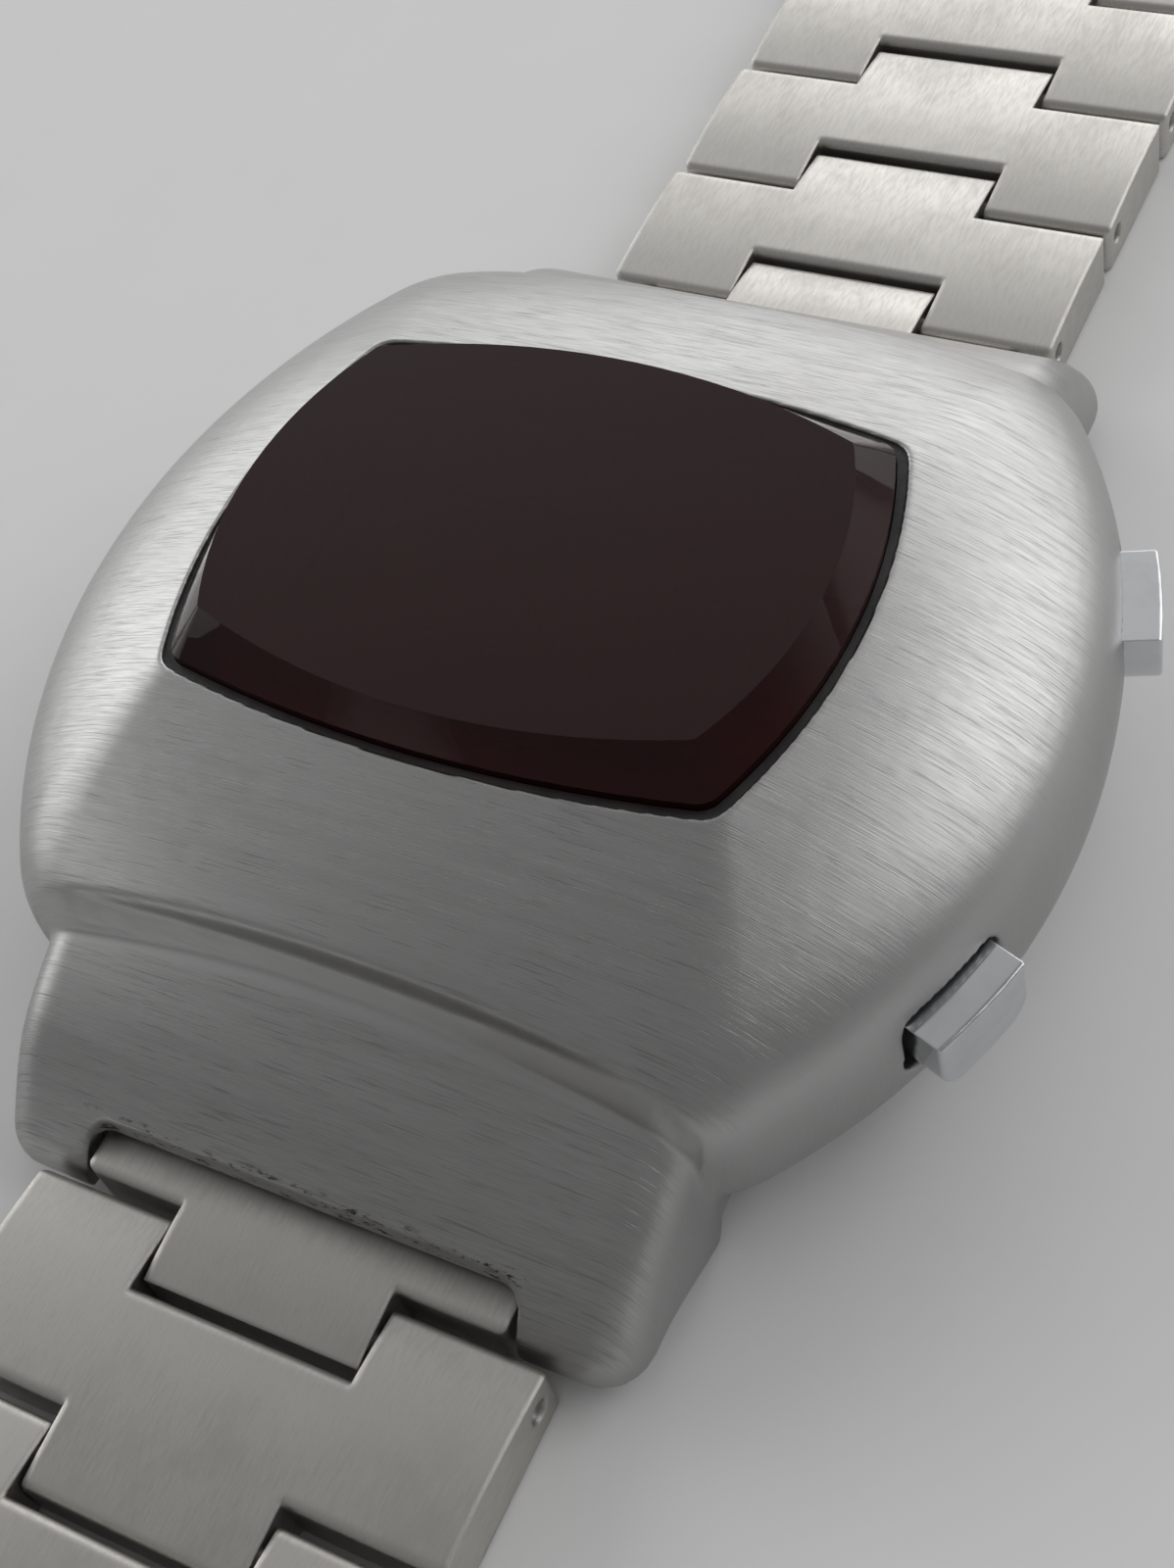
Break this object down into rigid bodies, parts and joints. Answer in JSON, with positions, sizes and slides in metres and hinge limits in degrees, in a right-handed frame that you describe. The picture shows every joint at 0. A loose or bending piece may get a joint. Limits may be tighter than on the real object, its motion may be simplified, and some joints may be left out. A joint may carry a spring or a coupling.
{
  "type": "led wrist watch",
  "caption": "Steel wrist watch with an arched cushion body, dark red crystal over a lit display, two push buttons, sloping hoods and an open link bracelet lying flat.",
  "frame": {"origin": "centre of the case back's flat outer face, on the table the watch lies on", "axes": "+X towards three o'clock, where the push buttons are; +Y towards twelve o'clock, along the open bracelet; +Z out of the crystal"},
  "size_m": [0.0393, 0.1753, 0.0135],
  "materials": {
    "case_steel": "brushed across the top and the hoods, satin sides",
    "back_steel": "fine satin",
    "crystal_glass": "polished, deep red, near black",
    "seal_rubber": "dull",
    "mask_black": "dull black",
    "display_ceramic": "dark semi gloss",
    "led_red": "unlit dark red",
    "board_laminate": "green laminate",
    "module_plastic": "moulded black",
    "chip_black": "moulded black",
    "part_metal": "bright drawn can",
    "capacitor_tan": "fired tan",
    "cell_steel": "bright nickel",
    "contact_brass": "gold coloured",
    "button_steel": "polished",
    "clip_steel": "spring steel",
    "bracelet_steel": "fine satin along the strap",
    "clasp_steel": "fine satin",
    "pin_steel": "drawn steel"
  },
  "bodies": {
    "case": {"case_shell": "case_steel", "crystal": "crystal_glass", "case_back": "back_steel", "crystal_gasket": "seal_rubber", "display_mask": "mask_black", "led_digits": "led_red", "display_substrate": "display_ceramic", "circuit_board": "board_laminate", "driver_chip": "chip_black", "quartz_can": "part_metal", "trimmer": "part_metal", "capacitors": "capacitor_tan", "module_frame": "module_plastic", "power_cells": "cell_steel", "cell_contacts": "contact_brass", "switch_pads": "contact_brass", "case_back_seal": "seal_rubber", "case_back_screws": "back_steel", "button_seals": "seal_rubber", "spring_bar_12": "pin_steel", "spring_bar_06": "pin_steel", "button_spring_upper": "clip_steel", "button_spring_lower": "clip_steel"},
    "button_upper": {"button_upper": "button_steel", "button_clip_upper": "clip_steel"},
    "button_lower": {"button_lower": "button_steel", "button_clip_lower": "clip_steel"},
    "end_link_12": {"end_link_12": "bracelet_steel"},
    "link_12_1": {"link_12_1": "bracelet_steel", "pin_12_1": "pin_steel"},
    "link_12_2": {"link_12_2": "bracelet_steel", "pin_12_2": "pin_steel"},
    "link_12_3": {"link_12_3": "bracelet_steel", "pin_12_3": "pin_steel"},
    "link_12_4": {"link_12_4": "bracelet_steel", "pin_12_4": "pin_steel"},
    "link_12_5": {"link_12_5": "bracelet_steel", "pin_12_5": "pin_steel"},
    "link_12_6": {"link_12_6": "bracelet_steel", "pin_12_6": "pin_steel"},
    "end_link_06": {"end_link_06": "bracelet_steel"},
    "link_06_1": {"link_06_1": "bracelet_steel", "pin_06_1": "pin_steel"},
    "link_06_2": {"link_06_2": "bracelet_steel", "pin_06_2": "pin_steel"},
    "link_06_3": {"link_06_3": "bracelet_steel", "pin_06_3": "pin_steel"},
    "link_06_4": {"link_06_4": "bracelet_steel", "pin_06_4": "pin_steel"},
    "link_06_5": {"link_06_5": "bracelet_steel", "pin_06_5": "pin_steel"},
    "link_06_6": {"link_06_6": "bracelet_steel", "pin_06_6": "pin_steel"},
    "clasp_base": {"clasp_base": "clasp_steel", "clasp_link_pin": "pin_steel", "clasp_anchor_bar": "pin_steel", "clasp_hinge_pin": "pin_steel"},
    "clasp_cover": {"clasp_cover": "clasp_steel"},
    "hook_plate": {"hook_plate": "clasp_steel", "hook_pin": "pin_steel"}
  },
  "joints": [
    {"name": "button_upper_press", "type": "slide", "parent": "case", "child": "button_upper", "axis": [-0.9426, -0.3339, 0], "range_m": [0, 0.0006], "stiffness_N_per_m": 800, "springref_m": -0.0006, "deforming": ["button_spring_upper"]},
    {"name": "button_lower_press", "type": "slide", "parent": "case", "child": "button_lower", "axis": [-0.9426, 0.3339, 0], "range_m": [0, 0.0006], "stiffness_N_per_m": 800, "springref_m": -0.0006, "deforming": ["button_spring_lower"]},
    {"name": "end_link_12_swing", "type": "hinge", "parent": "case", "child": "end_link_12", "pos_m": [0, 0.02, 0.0016], "axis": [-1, 0, 0], "range_deg": [-5, 30]},
    {"name": "link_12_1_swing", "type": "hinge", "parent": "end_link_12", "child": "link_12_1", "pos_m": [0, 0.0242, 0.00135], "axis": [-1, 0, 0], "range_deg": [-8, 18]},
    {"name": "link_12_2_swing", "type": "hinge", "parent": "link_12_1", "child": "link_12_2", "pos_m": [0, 0.0317, 0.00135], "axis": [-1, 0, 0], "range_deg": [-8, 18]},
    {"name": "link_12_3_swing", "type": "hinge", "parent": "link_12_2", "child": "link_12_3", "pos_m": [0, 0.0392, 0.00135], "axis": [-1, 0, 0], "range_deg": [-8, 18]},
    {"name": "link_12_4_swing", "type": "hinge", "parent": "link_12_3", "child": "link_12_4", "pos_m": [0, 0.0467, 0.00135], "axis": [-1, 0, 0], "range_deg": [-8, 18]},
    {"name": "link_12_5_swing", "type": "hinge", "parent": "link_12_4", "child": "link_12_5", "pos_m": [0, 0.0542, 0.00135], "axis": [-1, 0, 0], "range_deg": [-8, 18]},
    {"name": "link_12_6_swing", "type": "hinge", "parent": "link_12_5", "child": "link_12_6", "pos_m": [0, 0.0617, 0.00135], "axis": [-1, 0, 0], "range_deg": [-8, 18]},
    {"name": "end_link_06_swing", "type": "hinge", "parent": "case", "child": "end_link_06", "pos_m": [0, -0.02, 0.0016], "axis": [1, 0, 0], "range_deg": [-5, 30]},
    {"name": "link_06_1_swing", "type": "hinge", "parent": "end_link_06", "child": "link_06_1", "pos_m": [0, -0.0242, 0.00135], "axis": [1, 0, 0], "range_deg": [-8, 18]},
    {"name": "link_06_2_swing", "type": "hinge", "parent": "link_06_1", "child": "link_06_2", "pos_m": [0, -0.0317, 0.00135], "axis": [1, 0, 0], "range_deg": [-8, 18]},
    {"name": "link_06_3_swing", "type": "hinge", "parent": "link_06_2", "child": "link_06_3", "pos_m": [0, -0.0392, 0.00135], "axis": [1, 0, 0], "range_deg": [-8, 18]},
    {"name": "link_06_4_swing", "type": "hinge", "parent": "link_06_3", "child": "link_06_4", "pos_m": [0, -0.0467, 0.00135], "axis": [1, 0, 0], "range_deg": [-8, 18]},
    {"name": "link_06_5_swing", "type": "hinge", "parent": "link_06_4", "child": "link_06_5", "pos_m": [0, -0.0542, 0.00135], "axis": [1, 0, 0], "range_deg": [-8, 18]},
    {"name": "link_06_6_swing", "type": "hinge", "parent": "link_06_5", "child": "link_06_6", "pos_m": [0, -0.0617, 0.00135], "axis": [1, 0, 0], "range_deg": [-8, 18]},
    {"name": "clasp_base_swing", "type": "hinge", "parent": "link_06_6", "child": "clasp_base", "pos_m": [0, -0.0692, 0.00135], "axis": [1, 0, 0], "range_deg": [-8, 18]},
    {"name": "clasp_cover_open", "type": "hinge", "parent": "clasp_base", "child": "clasp_cover", "pos_m": [0, -0.0722, 0.0031], "axis": [-1, 0, 0], "range_deg": [0, 100]},
    {"name": "hook_plate_swing", "type": "hinge", "parent": "link_12_6", "child": "hook_plate", "pos_m": [0, 0.0692, 0.00135], "axis": [-1, 0, 0], "range_deg": [-8, 18]}
  ]
}
